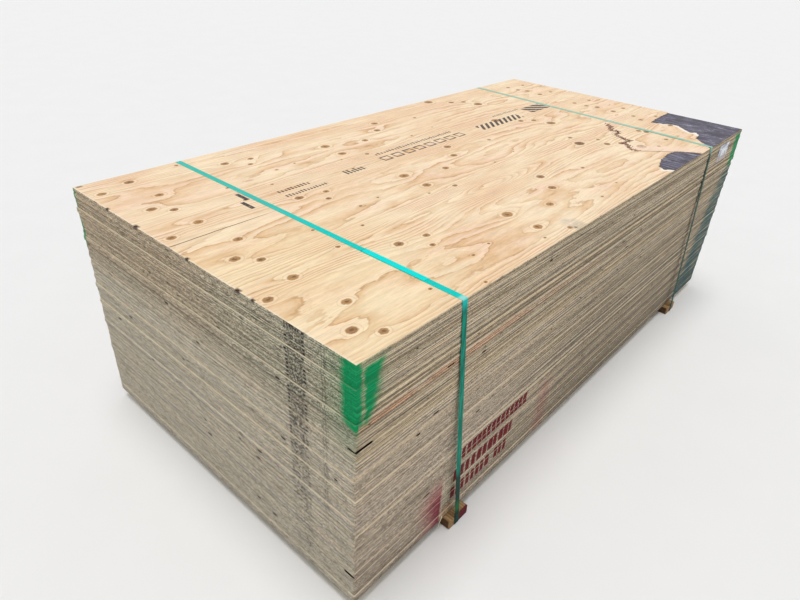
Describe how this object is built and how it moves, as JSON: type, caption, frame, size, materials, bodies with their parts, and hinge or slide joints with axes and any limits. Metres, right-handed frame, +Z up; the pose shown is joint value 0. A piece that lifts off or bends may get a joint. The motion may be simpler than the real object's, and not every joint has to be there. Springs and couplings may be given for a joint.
{
  "type": "stack of plywood sheets",
  "caption": "Strapped stack of softwood plywood sheets lying on timber bearers, with spray-painted corners, ink marks, a paper label and torn face veneer.",
  "frame": {"origin": "on the floor below the middle of the stack", "axes": "+X along the sheets, away from the near end; +Y across them, away from the marked side; +Z up"},
  "size_m": [2.4446, 1.272, 0.8213],
  "materials": {
    "plywood": "rotary-peeled softwood face, raw sawn edges",
    "bearer_timber": "planed softwood, weathered",
    "strap_plastic": "smooth extruded band",
    "label_paper": "matt paper"
  },
  "bodies": {
    "root": {"bearer_near": "bearer_timber", "bearer_far": "bearer_timber", "sheet_01": "plywood", "sheet_02": "plywood", "sheet_03": "plywood", "sheet_04": "plywood", "sheet_05": "plywood", "sheet_06": "plywood", "sheet_07": "plywood", "sheet_08": "plywood", "sheet_09": "plywood", "sheet_10": "plywood", "sheet_11": "plywood", "sheet_12": "plywood", "sheet_13": "plywood", "sheet_14": "plywood", "sheet_15": "plywood", "sheet_16": "plywood", "sheet_17": "plywood", "sheet_18": "plywood", "sheet_19": "plywood", "sheet_20": "plywood", "sheet_21": "plywood", "sheet_22": "plywood", "sheet_23": "plywood", "sheet_24": "plywood", "sheet_25": "plywood", "sheet_26": "plywood", "sheet_27": "plywood", "sheet_28": "plywood", "sheet_29": "plywood", "sheet_30": "plywood", "sheet_31": "plywood", "sheet_32": "plywood", "sheet_33": "plywood", "sheet_34": "plywood", "sheet_35": "plywood", "sheet_36": "plywood", "sheet_37": "plywood", "sheet_38": "plywood", "sheet_39": "plywood", "sheet_40": "plywood", "sheet_41": "plywood", "sheet_42": "plywood", "sheet_43": "plywood", "sheet_44": "plywood", "sheet_45": "plywood", "sheet_46": "plywood", "sheet_47": "plywood", "sheet_48": "plywood", "sheet_49": "plywood", "sheet_50": "plywood", "strap_near": "strap_plastic", "strap_far": "strap_plastic", "label": "label_paper"}
  },
  "joints": []
}
